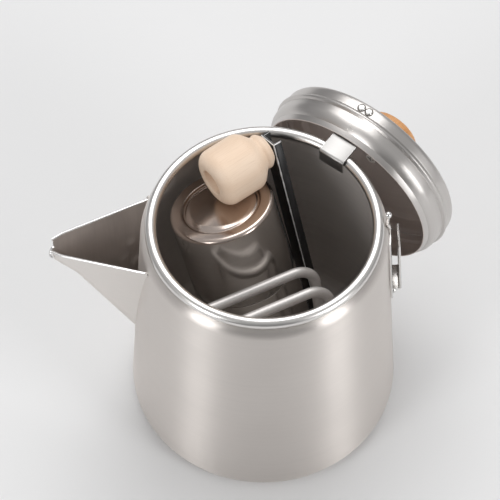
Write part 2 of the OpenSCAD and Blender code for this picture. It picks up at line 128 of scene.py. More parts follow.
def turned_grain(nt, vec, fine, along, detail=2.0):
    """Noise in rings round the local Z axis: fine across them, slow along them."""
    flat = node(nt, "ShaderNodeVectorMath", {0: vec, 1: (1, 1, 0)}, operation="MULTIPLY").outputs[0]
    length = node(nt, "ShaderNodeVectorMath", {0: flat}, operation="LENGTH").outputs["Value"]
    unit = node(nt, "ShaderNodeVectorMath", {0: flat}, operation="NORMALIZE").outputs[0]
    u = node(nt, "ShaderNodeSeparateXYZ", {0: unit})
    z = node(nt, "ShaderNodeSeparateXYZ", {0: vec}).outputs[2]
    p = node(nt, "ShaderNodeCombineXYZ", {
        0: math_node(nt, "MULTIPLY", length, fine),
        1: math_node(nt, "MULTIPLY", z, fine),
        2: math_node(nt, "MULTIPLY", u.outputs[0], along)}).outputs[0]
    return noise(nt, p, 1.0, detail, 0.6, w=math_node(nt, "MULTIPLY", u.outputs[1], along))


def rgba(r, g, b):
    return (r, g, b, 1.0)


# ---------------------------------------------------------------- materials
def steel_mat(name, color, rough, grain="ring", fine=1500.0, along=3.0,
              stretch=(1, 1, 1), aniso=0.0, bump=0.000004, tint=0.05, smudge=0.05, metal=1.0):
    """Brushed steel: fine scratches round the local axis or along one direction, with soft smudges."""
    m, nt, b = new_mat(name)
    v = local(nt)
    if grain == "ring":
        g = turned_grain(nt, v, fine, along)
        g2 = turned_grain(nt, v, fine * 0.27, along * 0.6, 1.0)
    else:
        g = noise(nt, scaled(nt, v, stretch), fine, 2.0, 0.6)
        g2 = noise(nt, scaled(nt, v, stretch), fine * 0.27, 1.0, 0.5)
    soft = noise(nt, v, 28.0, 2.0, 0.5)
    lines = math_node(nt, "ADD", math_node(nt, "MULTIPLY", g, 0.6), math_node(nt, "MULTIPLY", g2, 0.4))
    dark = rgba(*[c * (1 - tint) for c in color])
    light = rgba(*[min(1, c * (1 + tint)) for c in color])
    col = mix(nt, span(nt, lines, 0.3, 0.7, 0, 1), dark, light)
    shade = span(nt, soft, 0.3, 0.7, 1 - smudge, 1 + smudge * 0.5)
    grey = node(nt, "ShaderNodeCombineColor", {0: shade, 1: shade, 2: shade}).outputs[0]
    col = mix(nt, 1.0, col, grey, "MULTIPLY")
    nt.links.new(col, b.inputs["Base Color"])
    b.inputs["Metallic"].default_value = metal
    ro = math_node(nt, "ADD", span(nt, lines, 0.3, 0.7, rough[0], rough[1]),
                   span(nt, soft, 0.3, 0.7, -0.02, 0.03))
    nt.links.new(ro, b.inputs["Roughness"])
    if aniso:
        b.inputs["Anisotropic"].default_value = aniso
        b.inputs["Anisotropic Rotation"].default_value = 0.25
        tg = node(nt, "ShaderNodeTangent", direction_type="RADIAL", axis="Z")
        nt.links.new(tg.outputs[0], b.inputs["Tangent"])
    bp = node(nt, "ShaderNodeBump", {"Strength": 0.35, "Distance": bump, "Height": lines})
    nt.links.new(bp.outputs[0], b.inputs["Normal"])
    return m


def wood_mat(name, pale, mid, dark, ring, pore=0.35):
    """Turned wood: growth rings, fine fibres along the local Z axis, short pores."""
    m, nt, b = new_mat(name)
    v = local(nt)
    long_grain = scaled(nt, v, (1.0, 1.0, 0.12))
    warp = noise(nt, long_grain, 45.0, 2.0, 0.5)
    sep = node(nt, "ShaderNodeSeparateXYZ", {0: long_grain})
    across = math_node(nt, "ADD", sep.outputs[0], math_node(nt, "MULTIPLY", warp, 0.012))
    rings = math_node(nt, "SINE", math_node(nt, "MULTIPLY", across, ring * 2 * PI))
    rings = span(nt, rings, -1, 1, 0, 1)
    fibre = noise(nt, scaled(nt, v, (1.0, 1.0, 0.035)), 2600.0, 3.0, 0.6)
    broad = noise(nt, v, 60.0, 2.0, 0.5)
    col = mix(nt, math_node(nt, "MULTIPLY", rings, 0.75), pale, mid)
    col = mix(nt, span(nt, broad, 0.35, 0.7, 0.0, 0.5), col, mid)
    col = mix(nt, math_node(nt, "MULTIPLY", span(nt, fibre, 0.5, 0.72, 0, 1), pore), col, dark)
    nt.links.new(col, b.inputs["Base Color"])
    nt.links.new(span(nt, fibre, 0.3, 0.7, 0.42, 0.6), b.inputs["Roughness"])
    b.inputs["Specular IOR Level"].default_value = 0.4
    bp = node(nt, "ShaderNodeBump", {"Strength": 0.25, "Distance": 0.00012, "Height": fibre})
    nt.links.new(bp.outputs[0], b.inputs["Normal"])
    return m


def black_mat(name):
    """Black oxide: even dark skin with faint rubbed streaks and small specks."""
    m, nt, b = new_mat(name)
    v = local(nt)
    rub = noise(nt, scaled(nt, v, (1, 1, 0.15)), 260.0, 3.0, 0.6)
    spots = noise(nt, v, 900.0, 2.0, 0.6)
    skin, rubbed = rgba(0.012, 0.012, 0.013), rgba(0.0484, 0.0484, 0.0516)
    col = mix(nt, span(nt, rub, 0.45, 0.75, 0, 0.8), skin, rubbed)
    col = mix(nt, span(nt, spots, 0.66, 0.8, 0, 0.5), col, rgba(0.12, 0.12, 0.12))
    nt.links.new(col, b.inputs["Base Color"])
    b.inputs["Metallic"].default_value = 0.0
    nt.links.new(span(nt, rub, 0.3, 0.7, 0.28, 0.42), b.inputs["Roughness"])
    bp = node(nt, "ShaderNodeBump", {"Strength": 0.3, "Distance": 0.00003, "Height": spots})
    nt.links.new(bp.outputs[0], b.inputs["Normal"])
    return m


def plain_mat(name, dark, light, rough, scale, metallic=0.0, bump=0.00004):
    """Moulded or sintered surface: two close tones in fine grain."""
    m, nt, b = new_mat(name)
    v = local(nt)
    g = noise(nt, v, scale, 3.0, 0.6)
    g2 = noise(nt, v, scale * 0.08, 2.0, 0.5)
    f = math_node(nt, "ADD", math_node(nt, "MULTIPLY", g, 0.5), math_node(nt, "MULTIPLY", g2, 0.5))
    nt.links.new(mix(nt, span(nt, f, 0.35, 0.65, 0, 1), rgba(*dark), rgba(*light)), b.inputs["Base Color"])
    nt.links.new(span(nt, g, 0.3, 0.7, rough[0], rough[1]), b.inputs["Roughness"])
    b.inputs["Metallic"].default_value = metallic
    bp = node(nt, "ShaderNodeBump", {"Strength": 0.4, "Distance": bump, "Height": g})
    nt.links.new(bp.outputs[0], b.inputs["Normal"])
    return m


M_BODY = steel_mat("pot_outside", (0.74, 0.695, 0.66), (0.37, 0.41), fine=1400.0, along=1.6,
                   aniso=0.88, tint=0.02, smudge=0.01, bump=0.0000012)
M_INSIDE = steel_mat("pot_inside", (0.74, 0.70, 0.67), (0.4, 0.48), fine=1500.0, along=2.0,
                     metal=0.2, smudge=0.03)
M_RIM = steel_mat("rim_bead", (0.74, 0.72, 0.70), (0.26, 0.32), fine=2400.0, along=4.0,
                  tint=0.02, smudge=0.02)
M_SPOUT = steel_mat("spout_sheet", (0.74, 0.70, 0.665), (0.3, 0.34), grain="line", fine=1200.0,
                    stretch=(0.05, 1, 1), tint=0.02, smudge=0.015, bump=0.0000012)
M_SPOUT_IN = steel_mat("spout_inside", (0.50, 0.445, 0.41), (0.3, 0.4), grain="line", fine=900.0,
                       stretch=(1, 0.3, 0.06), smudge=0.12, metal=0.4)
M_EDGE = steel_mat("cut_edge", (0.86, 0.85, 0.84), (0.14, 0.22), grain="line", fine=900.0)
M_LID = steel_mat("lid_outside", (0.60, 0.575, 0.555), (0.32, 0.37), fine=2600.0, along=2.0,
                  aniso=0.75, tint=0.03, smudge=0.02)
M_LID_IN = steel_mat("lid_inside", (0.62, 0.55, 0.515), (0.34, 0.42), fine=1400.0, along=2.0, metal=0.3)
M_CLIP = steel_mat("clip_strip", (0.44, 0.43, 0.42), (0.36, 0.44), grain="line", fine=1800.0,
                   stretch=(1, 0.06, 1))
M_MILL = steel_mat("mill_tube", (0.56, 0.525, 0.495), (0.13, 0.18), fine=2000.0, along=2.5,
                   aniso=0.35, tint=0.06)
M_FOOT = steel_mat("mill_foot", (0.56, 0.475, 0.425), (0.16, 0.22), fine=2400.0, tint=0.02, smudge=0.02)
M_ROD = steel_mat("handle_rod", (0.66, 0.63, 0.61), (0.38, 0.46), grain="line", smudge=0.08, metal=0.55)
M_STAMP = steel_mat("bracket_strip", (0.72, 0.70, 0.68), (0.22, 0.32), grain="line", fine=800.0,
                    stretch=(1, 1, 0.06))
M_FIT = steel_mat("small_fitting", (0.76, 0.75, 0.73), (0.16, 0.26), fine=1800.0)
M_WELD = plain_mat("weld_metal", (0.62, 0.58, 0.54), (0.78, 0.75, 0.72), (0.28, 0.45), 1500.0, 1.0, 0.00008)
# painted shadow: a dark brown tone for the rings of shade round the lid's rivet heads
M_PAINTED_SHADOW = plain_mat("rivet_painted_shadow", (0.10, 0.085, 0.075), (0.17, 0.15, 0.13), (0.5, 0.6), 900.0)
M_BLACK = black_mat("black_oxide")
# painted highlight: near-white, barely metallic tone for the bright lines along the crank's corners and edges
M_EDGE_HIGHLIGHT = steel_mat("painted_edge_highlight", (0.90, 0.88, 0.86), (0.3, 0.45), grain="line", fine=900.0,
                   tint=0.18, metal=0.15)
M_MAPLE = wood_mat("maple", rgba(0.93, 0.745, 0.585), rgba(0.88, 0.67, 0.50), rgba(0.66, 0.46, 0.31), 75.0)
M_OAK = wood_mat("red_wood", rgba(0.74, 0.39, 0.17), rgba(0.60, 0.28, 0.105), rgba(0.36, 0.15, 0.05),
                 110.0, pore=0.6)
M_PLASTIC = plain_mat("black_moulding", (0.02, 0.02, 0.021), (0.035, 0.035, 0.036), (0.45, 0.6), 700.0)
M_CERAMIC = plain_mat("ceramic", (0.76, 0.74, 0.70), (0.84, 0.82, 0.78), (0.3, 0.42), 500.0)
M_BRONZE = plain_mat("sintered_bronze", (0.52, 0.36, 0.17), (0.66, 0.49, 0.27), (0.3, 0.45), 1600.0, 1.0)


# ---------------------------------------------------------------- mesh helpers
def arc(cx, cy, r, a0, a1, n=8):
    return [(cx + r * COS(math.radians(a0 + (a1 - a0) * i / n)),
             cy + r * SIN(math.radians(a0 + (a1 - a0) * i / n))) for i in range(n + 1)]


def fillet(pts, radius, n=4, closed=False):
    """Rounds the corners of a line of points. radius is one number or one per point."""
    k = len(pts)
    rs = radius if isinstance(radius, (list, tuple)) else [radius] * k
    out = []
    for i, p in enumerate(pts):
        if rs[i] <= 0 or (not closed and i in (0, k - 1)):
            out.append(tuple(p))
            continue
        a, b, c = Vector(pts[i - 1]), Vector(p), Vector(pts[(i + 1) % k])
        u, v = (a - b), (c - b)
        if u.length < 1e-6 or v.length < 1e-6:
            out.append(tuple(p))
            continue
        lu, lv = u.length, v.length
        u.normalize()
        v.normalize()
        half = u.angle(v) / 2
        if half > 1.55:
            out.append(tuple(p))
            continue
        d = min(rs[i] / TAN(half), lu * 0.49, lv * 0.49)
        s, e = b + u * d, b + v * d
        for j in range(n + 1):
            t = j / n
            out.append(tuple(s * (1 - t) ** 2 + b * 2 * t * (1 - t) + e * t ** 2))
    return out


def thick(line, t, ends=3):
    """Closed outline of a sheet of thickness t about a centre line, with round ends."""
    p = np.array(line, float)
    d = np.zeros_like(p)
    d[1:-1] = p[2:] - p[:-2]
    d[0], d[-1] = p[1] - p[0], p[-1] - p[-2]
    d /= np.linalg.norm(d, axis=1)[:, None]
    nrm = np.stack([d[:, 1], -d[:, 0]], 1)
    a, b = p + nrm * t / 2, p - nrm * t / 2

    def cap(c, n0, d0):
        return [tuple(c + (n0 * COS(x) + d0 * SIN(x)) * t / 2)
                for x in [PI * (i + 1) / (ends + 1) for i in range(ends)]]
    return ([tuple(x) for x in a] + cap(p[-1], nrm[-1], d[-1])
            + [tuple(x) for x in b[::-1]] + cap(p[0], -nrm[0], -d[0]))


def finish_mesh(name, verts, faces, place, body, mats, index=None, sharp=32, nodes=(), slot=None):
    me = bpy.data.meshes.new(name)
    me.from_pydata([tuple(c * MM for c in v) for v in verts], [], faces)
    for m in mats:
        me.materials.append(m)
    if index is not None:
        me.polygons.foreach_set("material_index", index)
    me.validate()
    ob = bpy.data.objects.new(name, me)
    bpy.context.scene.collection.objects.link(ob)
    m = place.copy()
    m.translation = m.translation * MM
    ob.matrix_world = m
    fix_normals(ob)
    smooth(ob, sharp)
    if body:
        adopt(ob, body, nodes)
    return ob


def adopt(ob, body, nodes=()):
    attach(ob, body)
    if nodes:
        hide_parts(*nodes)
    return ob


def fix_normals(ob):
    bm = bmesh.new()
    bm.from_mesh(ob.data)
    bmesh.ops.remove_doubles(bm, verts=bm.verts, dist=1e-7)
    bmesh.ops.recalc_face_normals(bm, faces=bm.faces)
    bm.to_mesh(ob.data)
    bm.free()


def smooth(ob, sharp=32):
    ob.data.shade_smooth()
    ob.data.set_sharp_from_angle(angle=math.radians(sharp))


def lathe(name, profile, place, body, mats, mat_of=None, segs=160, closed=True, **kw):
    """Turns a closed outline (r, z) about the local Z axis. mat_of(r, z) picks the material."""
    verts, rings = [], []
    for r, z in profile:
        if abs(r) < 1e-6:
            rings.append([len(verts)] * segs)
            verts.append((0.0, 0.0, z))
        else:
            start = len(verts)
            for i in range(segs):
                a = 2 * PI * i / segs
                verts.append((r * COS(a), r * SIN(a), z))
            rings.append(list(range(start, start + segs)))
    faces, index = [], []
    n = len(profile)
    for k in range(n if closed else n - 1):
        a, b = rings[k], rings[(k + 1) % n]
        pa, pb = profile[k], profile[(k + 1) % n]
        if abs(pa[0]) < 1e-6 and abs(pb[0]) < 1e-6:
            continue
        mi = mat_of((pa[0] + pb[0]) / 2, (pa[1] + pb[1]) / 2, k) if mat_of else 0
        for i in range(segs):
            j = (i + 1) % segs
            f = [a[i], a[j], b[j], b[i]]
            f = [v for q, v in enumerate(f) if v not in f[:q]]
            if len(f) > 2:
                faces.append(f)
                index.append(mi)
    return finish_mesh(name, verts, faces, place, body, mats, index, **kw)


def prism(name, outline, y0, y1, place, body, mats, bevel, edge_mat, segs=2, plane="xz", **kw):
    """Solid from a closed outline, run from y0 to y1, with all of its hard edges rounded."""
    def at(p, y):
        return {"xz": (p[0], y, p[1]), "xy": (p[0], p[1], y), "yz": (y, p[0], p[1])}[plane]
    n = len(outline)
    verts = [at(p, y0) for p in outline] + [at(p, y1) for p in outline]
    faces = [list(range(n))[::-1], [n + i for i in range(n)]]
    faces += [[i, (i + 1) % n, n + (i + 1) % n, n + i] for i in range(n)]
    ob = finish_mesh(name, verts, faces, place, None, mats)
    round_edges(ob, bevel, segs, edge_mat)
    adopt(ob, body, kw.get("nodes", ()))
    return ob


def round_edges(ob, width, segs, edge_mat):
    bm = bmesh.new()
    bm.from_mesh(ob.data)
    bm.normal_update()
    hard = [e for e in bm.edges if len(e.link_faces) == 2
            and e.calc_face_angle(0) > math.radians(50)]
    bmesh.ops.bevel(bm, geom=hard, offset=width * MM, segments=segs, affect="EDGES",
                    profile=0.5, clamp_overlap=True, material=edge_mat)
    bmesh.ops.recalc_face_normals(bm, faces=bm.faces)
    bm.to_mesh(ob.data)
    bm.free()
    smooth(ob, 40)


def run(path, r, place, body, mats, name, segs, ball=False, **kw):
    """Round rod of radius r along a line of points. r may be one number per point."""
    p = [Vector(x) for x in path]
    n = len(p)
    rs = r if isinstance(r, (list, tuple)) else [r] * n
    tan = []
    for i in range(n):
        a, b = p[max(i - 1, 0)], p[min(i + 1, n - 1)]
        tan.append((b - a).normalized())
    up = tan[0].orthogonal().normalized()
    verts, faces = [], []
    for i in range(n):
        up = (up - tan[i] * up.dot(tan[i])).normalized()
        side = tan[i].cross(up)
        for k in range(segs):
            a = 2 * PI * k / segs
            verts.append(tuple(p[i] + (up * COS(a) + side * SIN(a)) * rs[i]))
    for i in range(n - 1):
        for k in range(segs):
            a, b = i * segs, (i + 1) * segs
            faces.append([a + k, a + (k + 1) % segs, b + (k + 1) % segs, b + k])
    for i, out in ((0, -tan[0]), (n - 1, tan[-1])):
        tip = len(verts)
        verts.append(tuple(p[i] + out * (rs[i] * (0.5 if ball else 0.0))))
        for k in range(segs):
            faces.append([i * segs + k, i * segs + (k + 1) % segs, tip])
    return finish_mesh(name, verts, faces, place, body, mats, **kw)


def cut(ob, tools):
    """Takes the tool meshes out of ob and removes them."""
    for t in tools:
        m = ob.modifiers.new("cut", "BOOLEAN")
        m.operation = "DIFFERENCE"
        m.solver = "EXACT"
        m.object = t
    bpy.context.view_layer.update()
    dg = bpy.context.evaluated_depsgraph_get()
    me = bpy.data.meshes.new_from_object(ob.evaluated_get(dg))
    ob.modifiers.clear()
    old = ob.data
    ob.data = me
    bpy.data.meshes.remove(old)
    for t in tools:
        bpy.data.objects.remove(t)
    smooth(ob, 32)


# ---------------------------------------------------------------- pot
RIM_D, RIM_R = 5.8, 58.4
RIM_Z = POT_H - RIM_D / 2
BASE_R, SHOULDER_R = 72.7, 64
CORNER_R, BEND_R = 9, 7
SHOULDER_Z = RIM_Z - RIM_D / 2 - BEND_R + 0.7
SLOPE = math.degrees(math.atan((BASE_R - SHOULDER_R) / (SHOULDER_Z - CORNER_R)))
WALL_TAN = TAN(math.radians(SLOPE))
POT_SHEET = 0.8
HOLE_R, HOLE_PITCH, HOLE_TURN, HOLES_Z = 2.5, 9, 8.2, 104


def wall_r(z):
    """Outer radius of the pot's straight wall."""
    return SHOULDER_R - BEND_R + BEND_R / COS(math.radians(SLOPE)) + (SHOULDER_Z - z) * WALL_TAN


def pot_line(t):
    """Outline of the pot moved in by t: base with its raised ring, corner, wall and shoulder."""
    floor_r, rise = BASE_R - CORNER_R, 1.4
    outer, inner = floor_r - 8, floor_r - 20
    low = [(0, t), (inner - t * 0.5, t), (inner + 2 - t * 0.5, rise + t), (outer - 2 + t * 0.5, rise + t),
           (outer + t * 0.5, t), (60, t)]
    corner = arc(floor_r, CORNER_R, CORNER_R - t, -90, SLOPE, 12)
    shoulder = arc(SHOULDER_R - BEND_R, SHOULDER_Z, BEND_R - t, SLOPE, 80, 14)
    return fillet(low, 1.0, 4) + corner + shoulder


def pot():
    outer, inner = pot_line(0), pot_line(POT_SHEET)
    pot_ob = lathe("pot_shell", outer + inner[::-1], ON_POT, None, [M_BODY, M_INSIDE],
                   lambda r, z, k: 0 if k < len(outer) - 1 else 1, segs=192)
    tools = []
    for row in range(-2, 3):
        # the spout is narrow beside the lowest row, so that row has one hole
        count = 1 if row == -2 else 3 - abs(row) % 2
        for k in range(count):
            turn = 180 + (k - (count - 1) / 2) * HOLE_TURN
            z = HOLES_Z + row * HOLE_PITCH * SIN(math.radians(60))
            r = wall_r(z)
            punch = [(0, r - 4), (HOLE_R, r - 4), (HOLE_R, r + 4), (0, r + 4)]
            tools.append(lathe("hole", punch, T(0, 0, z) @ R("Z", turn) @ R("Y", 90), None, [M_EDGE],
                               segs=24, closed=False))
    cut(pot_ob, tools)
    adopt(pot_ob, "root", ("pot_body", "pot_floor"))
    lathe("pot_rim", arc(RIM_R, RIM_Z, RIM_D / 2, 0, 345, 23), ON_POT, "root", [M_RIM],
          segs=192, slot="brushed_steel")


# ---------------------------------------------------------------- spout
KEEL = [(60, 44), (96, 112), (105.5, 123)]
KEEL_R = 3.6
SPOUT_BACK, SPOUT_NOSE, SPOUT_TIP = 52, 105, 110
HALF_BACK, HALF_NOSE, HALF_TIP = 26, 7, 4
LIP_Z, LIP_DROP = 143, 10.5
SPOUT_SHEET = 0.9


def spout_section(u):
    """Points across the spout at u from 0 at the pot to 1 at the tip."""
    length, to_nose = SPOUT_TIP - SPOUT_BACK, SPOUT_NOSE - SPOUT_BACK
    nose = SPOUT_TIP - SPOUT_NOSE
    x_lip = SPOUT_BACK + length * u
    half = HALF_BACK + (HALF_NOSE - HALF_BACK) * min(1, (x_lip - SPOUT_BACK) / to_nose)
    if x_lip > SPOUT_NOSE:
        half = HALF_NOSE - (HALF_NOSE - HALF_TIP) * (x_lip - SPOUT_NOSE) / nose
    z_lip = LIP_Z - LIP_DROP * (x_lip - SPOUT_BACK) / length
    # the keel is bent, and past the nose it turns up to the tip
    along = min(1, u * length / to_nose)
    bend = (KEEL[1][0] - SPOUT_BACK) / to_nose
    part = 0 if along < bend else 1
    f = along / bend if part == 0 else (along - bend) / (1 - bend)
    (x0, z0), (x1, z1) = KEEL[part], KEEL[part + 1]
    kx, kz = x0 + (x1 - x0) * f, z0 + (z1 - z0) * f
    if u > to_nose / length:
        f = (u - to_nose / length) / (nose / length)
        kx, kz = kx + 3.0 * f, kz + 4.2 * f
    lip = Vector((x_lip, half, z_lip))
    ked = Vector((kx, 0, kz))
    # direction of the keel's lowest point, square to the keel's own run
    down = Vector((0.884, 0, -0.468)) if u < 0.7 else Vector((0.8, 0, -0.6))
    side = ked + Vector((0, KEEL_R, 0)) * 0.92 + down * KEEL_R * 0.2
    straight = 0.72
    pts = []
    for i in range(25):
        t = i / 24
        # from the lip straight down the side, then round the keel
        if t > straight:
            w = (t - straight) / (1 - straight) * PI / 2
            pts.append(ked + Vector((0, KEEL_R * COS(w) * 0.96, 0)) + down * KEEL_R * (0.2 + 0.8 * SIN(w)))
        else:
            pts.append(lip.lerp(side, t / straight))
    return pts + [Vector((p.x, -p.y, p.z)) for p in pts[-2::-1]]


def pot_outside_r(z):
    """Outer radius of the pot's wall or, higher up, of its shoulder bend."""
    if z > SHOULDER_Z:
        s = min(1, (z - SHOULDER_Z) / BEND_R)
        return SHOULDER_R - BEND_R + BEND_R * math.sqrt(1 - s * s)
    return wall_r(z)


def inside_pot(p):
    return math.hypot(p.x, p.y) < pot_outside_r(p.z) - 0.4


def spout_line(col, steps):
    """One long line of the spout, from where it leaves the pot's wall, in even steps."""
    k0 = max([k for k in range(len(col) - 1) if inside_pot(col[k])], default=0)
    a, b = col[k0], col[k0 + 1]
    for _ in range(24):
        m = (a + b) / 2
        a, b = (m, b) if inside_pot(m) else (a, m)
    line = [b] + col[k0 + 1:]
    d = [0.0]
    for p, q in zip(line, line[1:]):
        d.append(d[-1] + (q - p).length)
    out = []
    for s in range(steps + 1):
        want = d[-1] * (s / steps)
        j = min(max(i for i in range(len(d)) if d[i] <= want + 1e-9), len(line) - 2)
        out.append(line[j].lerp(line[j + 1], (want - d[j]) / max(1e-9, d[j + 1] - d[j])))
    return out


def spout():
    steps = 44
    grid = [spout_section(i / 60) for i in range(61)]
    rows = [spout_line(list(col), steps) for col in zip(*grid)]
    cols = len(rows)
    verts = [(-p.x, p.y, p.z) for row in rows for p in row]
    w = steps + 1
    faces = [[c * w + s, c * w + s + 1, (c + 1) * w + s + 1, (c + 1) * w + s]
             for c in range(cols - 1) for s in range(steps)]
    ob = finish_mesh("spout_sheet", verts, faces, ON_POT, None, [M_SPOUT, M_SPOUT_IN, M_EDGE])
    # the sheet's outside must be the outward one before it gets its thickness
    bm = bmesh.new()
    bm.from_mesh(ob.data)
    mid = min(bm.faces, key=lambda f: f.calc_center_median().z)
    if mid.normal.z > 0:
        bmesh.ops.reverse_faces(bm, faces=bm.faces)
    bm.to_mesh(ob.data)
    bm.free()
    so = ob.modifiers.new("sheet", "SOLIDIFY")
    so.thickness = SPOUT_SHEET * MM
    so.offset = -1
    so.use_even_offset = True
    so.material_offset = 1
    so.material_offset_rim = 2
    bpy.context.view_layer.update()
    me = bpy.data.meshes.new_from_object(ob.evaluated_get(bpy.context.evaluated_depsgraph_get()))
    ob.modifiers.clear()
    ob.data = me
    smooth(ob, 45)
    adopt(ob, "root", ("spout",))
    # hemmed lip: a thin bead along both top edges and round the tip
    top = [rows[0][s] for s in range(steps + 1)]
    end = [rows[c][-1] for c in range(cols)]
    back = [rows[-1][s] for s in range(steps, -1, -1)]
    path = [Vector((-p.x, p.y * 0.985, p.z - 0.1)) for p in top[1:] + end[1:-1] + back[:-1]]
    run(path, 0.62, ON_POT, "root", [M_EDGE], "spout_hem", segs=10, ball=True, slot="bright_steel")
    # small welds where the spout's top corners meet the pot
    for i, c in enumerate((0, cols - 1)):
        p = rows[c][0]
        blob("spout_weld_%d" % i, (-p.x - 0.6, p.y, p.z - 0.3), (1.5, 1.2, 1.7), ON_POT, "root")


def blob(name, at, size, place, body, seed=0):
    """Small uneven drop of weld metal."""
    bm = bmesh.new()
    bmesh.ops.create_icosphere(bm, subdivisions=3, radius=1.0)
    for v in bm.verts:
        k = 1 + 0.09 * SIN(v.co.x * 7 + seed) * COS(v.co.y * 6 + seed) + 0.06 * SIN(v.co.z * 9 + seed)
        v.co = Vector((v.co.x * size[0] * k, v.co.y * size[1] * k, v.co.z * size[2] * k)) * MM
    me = bpy.data.meshes.new(name)
    bm.to_mesh(me)
    bm.free()
    me.materials.append(M_WELD)
    ob = bpy.data.objects.new(name, me)
    bpy.context.scene.collection.objects.link(ob)
    m = place @ T(*at)
    m.translation = m.translation * MM
    ob.matrix_world = m
    smooth(ob, 60)
    adopt(ob, body, ())
    return ob


# ---------------------------------------------------------------- handle bracket
BRACKET_SHEET, BRACKET_HALF = 1.2, 7.5
BRACKET_LOW, BRACKET_HIGH = 97, 138


def bracket_pad():
    """Pad on the wall, curved with it."""
    low, high = BRACKET_LOW - 8.5, BRACKET_HIGH + 3
    nz, ny = 16, 10
    verts, faces = [], []
    for layer in (0.02, BRACKET_SHEET):
        for i in range(nz + 1):
            z = low + (high - low) * i / nz
            for j in range(ny + 1):
                y = BRACKET_HALF * (2 * j / ny - 1)
                r = wall_r(z) + layer
                verts.append((math.sqrt(r * r - y * y), y, z))
    row = ny + 1
    s = (nz + 1) * row
    for i in range(nz):
        for j in range(ny):
            q = i * row + j
            faces.append([q, q + 1, q + row + 1, q + row])
            faces.append([s + q, s + q + row, s + q + row + 1, s + q + 1])
    border = (list(range(row)) + [i * row + ny for i in range(1, nz + 1)]
              + [nz * row + j for j in range(ny - 1, -1, -1)] + [i * row for i in range(nz - 1, 0, -1)])
    for a, b in zip(border, border[1:] + border[:1]):
        faces.append([a, b, s + b, s + a])
    ob = finish_mesh("bracket_pad", verts, faces, ON_BRACKET, None, [M_STAMP, M_EDGE])
    round_edges(ob, 0.25, 2, 1)
    adopt(ob, "root", ("bracket_plate",))


def bracket():
    t = BRACKET_SHEET
    bracket_pad()
    # narrow tab that rises from the pad past the rim and ends in a ball
    top, tab_w, tab_x = RIM_Z + 3.2, 3.4, 63.4
    line = [(64.7, BRACKET_HIGH), (64.7, SHOULDER_Z + 1.2), (63.2, SHOULDER_Z + 6.2), (tab_x, top)]
    prism("bracket_tab", thick(fillet(line, 3.0, 5), t, 3), 0.0, tab_w, ON_BRACKET, "root",
          [M_STAMP, M_EDGE], 0.25, 1, slot="brushed_steel")
    lathe("bracket_tip", arc(0, 0, 1.75, -90, 90, 14), ON_BRACKET @ T(tab_x, tab_w / 2, top + 0.6), "root",
          [M_EDGE], segs=32, closed=False, slot="brushed_steel")
    # strap bent out from the pad and back to it, open above and at both sides
    out, foot_z = 5.0, BRACKET_LOW + 0.6
    high_r, low_r = wall_r(BRACKET_HIGH), wall_r(BRACKET_LOW)
    centre = [(high_r + out, BRACKET_HIGH), (low_r + out, foot_z), (low_r + 1.3, foot_z)]
    prism("bracket_loop", thick(fillet(centre, 1.6, 6), t, 3), -BRACKET_HALF, BRACKET_HALF, ON_BRACKET,
          "root", [M_STAMP, M_EDGE], 0.22, 1, nodes=("bracket_strap",), slot="brushed_steel")
    head = [(0, 1.45), (1.1, 1.38), (1.8, 1.05), (2.1, 0.5), (2.15, 0), (0, 0)]
    z = BRACKET_LOW - 5
    for i, y in enumerate((-4, 4)):
        lathe("bracket_rivet_%d" % i, head, ON_BRACKET @ T(wall_r(z) + t - 0.05, y, z) @ R("Y", 90),
              "root", [M_FIT], segs=32, closed=False, nodes=("bracket_rivets",) if i == 0 else (),
              slot="bright_steel")


# ---------------------------------------------------------------- lid
LID_SHEET = 0.7
LID_SKIRT_R = LID_R + 0.4
LID_RIVET_Z = 18


def lid_sheet():
    """Rolled open edge, a raised ring on the skirt, round corner and a stepped top."""
    ring, under = 13.0, LID_DEPTH - LID_SHEET / 2
    line = [(50.9, 0.3)] + arc(LID_R - 8, 9, 7.65, -50, -6, 9)
    line += [(54.5, 11.2), (54.35, 12.4), (55.6, ring + 0.2), (55.95, ring + 0.8), (55.3, ring + 1.7),
             (54.7, ring + 2.5), (54.75, ring + 3.3)]
    line += arc(LID_R + 0.2 - 3 - LID_SHEET / 2, under - 3, 3, 0, 90, 7)
    line += [(LID_R - 9, under), (LID_R - 12, under + 2), (16, under + 3), (2.3, under + 3)]
    radii = [0] * 11 + [0.5, 0.6, 0.5, 0.4, 0.6, 0.6, 0.5] + [0] * 8 + [1.2, 2.0, 4, 0]
    centre = fillet(line, radii, 4)
    outside = len(centre) + 2
    lathe("lid_sheet", thick(centre, LID_SHEET, 4), ON_LID, "lid", [M_LID, M_LID_IN],
          lambda r, z, k: 0 if k < outside else 1, segs=192, nodes=("lid_shell",), slot="brushed_steel")
    # fine seam where the lid's wall meets its top, inside
    lathe("lid_seam", arc(LID_R - 1.1, LID_DEPTH - 4.2, 0.3, 0, 330, 11), ON_LID, "lid", [M_EDGE],
          segs=128, slot="brushed_steel")


